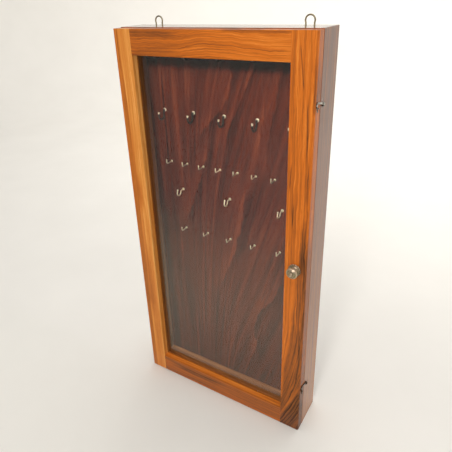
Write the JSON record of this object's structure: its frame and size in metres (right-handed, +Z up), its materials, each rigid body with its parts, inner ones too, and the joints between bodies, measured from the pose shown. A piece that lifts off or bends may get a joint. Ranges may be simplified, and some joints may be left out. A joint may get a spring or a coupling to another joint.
{
  "type": "wall display cabinet",
  "caption": "Shallow wooden wall cabinet with a framed glass door on side hinges, a small knob, swing latches, rows of hooks inside and wire loops for hanging.",
  "frame": {"origin": "middle of the case's base", "axes": "+Z up, +Y towards the wall, +X to the right seen from the room"},
  "size_m": [0.3799, 0.1015, 0.7759],
  "materials": {
    "case_wood": "gloss lacquer",
    "frame_wood": "gloss lacquer",
    "pale_stile_wood": "gloss lacquer",
    "bead_wood": "satin lacquer",
    "panel_veneer": "satin lacquer",
    "glass": "clear float glass",
    "aged_brass": "aged",
    "antique_brass": "antique, dark in the hollows",
    "hook_brass": "bright, a little tarnished",
    "dark_bronze": "dark bronze, worn bright on collar and tip",
    "steel": "dull"
  },
  "bodies": {
    "case": {"left_side": "case_wood", "right_side": "case_wood", "top_board": "case_wood", "bottom_board": "case_wood", "back_panel": "panel_veneer", "back_panel_brads": "steel", "left_hanging_loop": "aged_brass", "right_hanging_loop": "aged_brass", "hinge_screws_case": "aged_brass", "latch_screws": "aged_brass", "upper_hinge_case_leaf": "aged_brass", "upper_hinge_pin": "aged_brass", "lower_hinge_case_leaf": "aged_brass", "lower_hinge_pin": "aged_brass", "top_row_hook_1": "dark_bronze", "top_row_hook_2": "dark_bronze", "top_row_hook_3": "dark_bronze", "top_row_hook_4": "dark_bronze", "top_row_hook_5": "dark_bronze", "cup_hook_1": "dark_bronze", "cup_hook_2": "dark_bronze", "cup_hook_3": "dark_bronze", "cup_hook_4": "dark_bronze", "cup_hook_5": "dark_bronze", "upper_small_hook_1": "hook_brass", "upper_small_hook_2": "hook_brass", "upper_small_hook_3": "hook_brass", "upper_small_hook_4": "hook_brass", "upper_small_hook_5": "hook_brass", "upper_small_hook_6": "hook_brass", "upper_small_hook_7": "hook_brass", "upper_small_hook_8": "hook_brass", "middle_hook_1": "hook_brass", "middle_hook_2": "hook_brass", "middle_hook_3": "hook_brass", "lower_small_hook_1": "hook_brass", "lower_small_hook_2": "hook_brass", "lower_small_hook_3": "hook_brass", "lower_small_hook_4": "hook_brass", "lower_small_hook_5": "hook_brass"},
    "door": {"left_stile": "pale_stile_wood", "right_stile": "frame_wood", "top_rail": "frame_wood", "bottom_rail": "frame_wood", "glass_pane": "glass", "bead_top": "bead_wood", "bead_bottom": "bead_wood", "bead_left": "bead_wood", "bead_right": "bead_wood", "bead_brads": "steel", "knob": "antique_brass", "knob_rosette": "antique_brass", "knob_screw": "aged_brass", "hinge_screws_door": "aged_brass", "upper_hinge_door_leaf": "aged_brass", "lower_hinge_door_leaf": "aged_brass", "catch_pins": "aged_brass"},
    "upper_latch": {"upper_latch_hook": "aged_brass"},
    "lower_latch": {"lower_latch_hook": "aged_brass"}
  },
  "joints": [
    {"name": "door_hinge", "type": "hinge", "parent": "case", "child": "door", "pos_m": [-0.1884, -0.03275, 0.38], "axis": [0, 0, -1], "range_deg": [0, 180]},
    {"name": "upper_latch_swing", "type": "hinge", "parent": "case", "child": "upper_latch", "pos_m": [0.1855, -0.02275, 0.655], "axis": [-1, 0, 0], "range_deg": [-9, 140]},
    {"name": "lower_latch_swing", "type": "hinge", "parent": "case", "child": "lower_latch", "pos_m": [0.1855, -0.02275, 0.104], "axis": [-1, 0, 0], "range_deg": [-18, 131]}
  ]
}
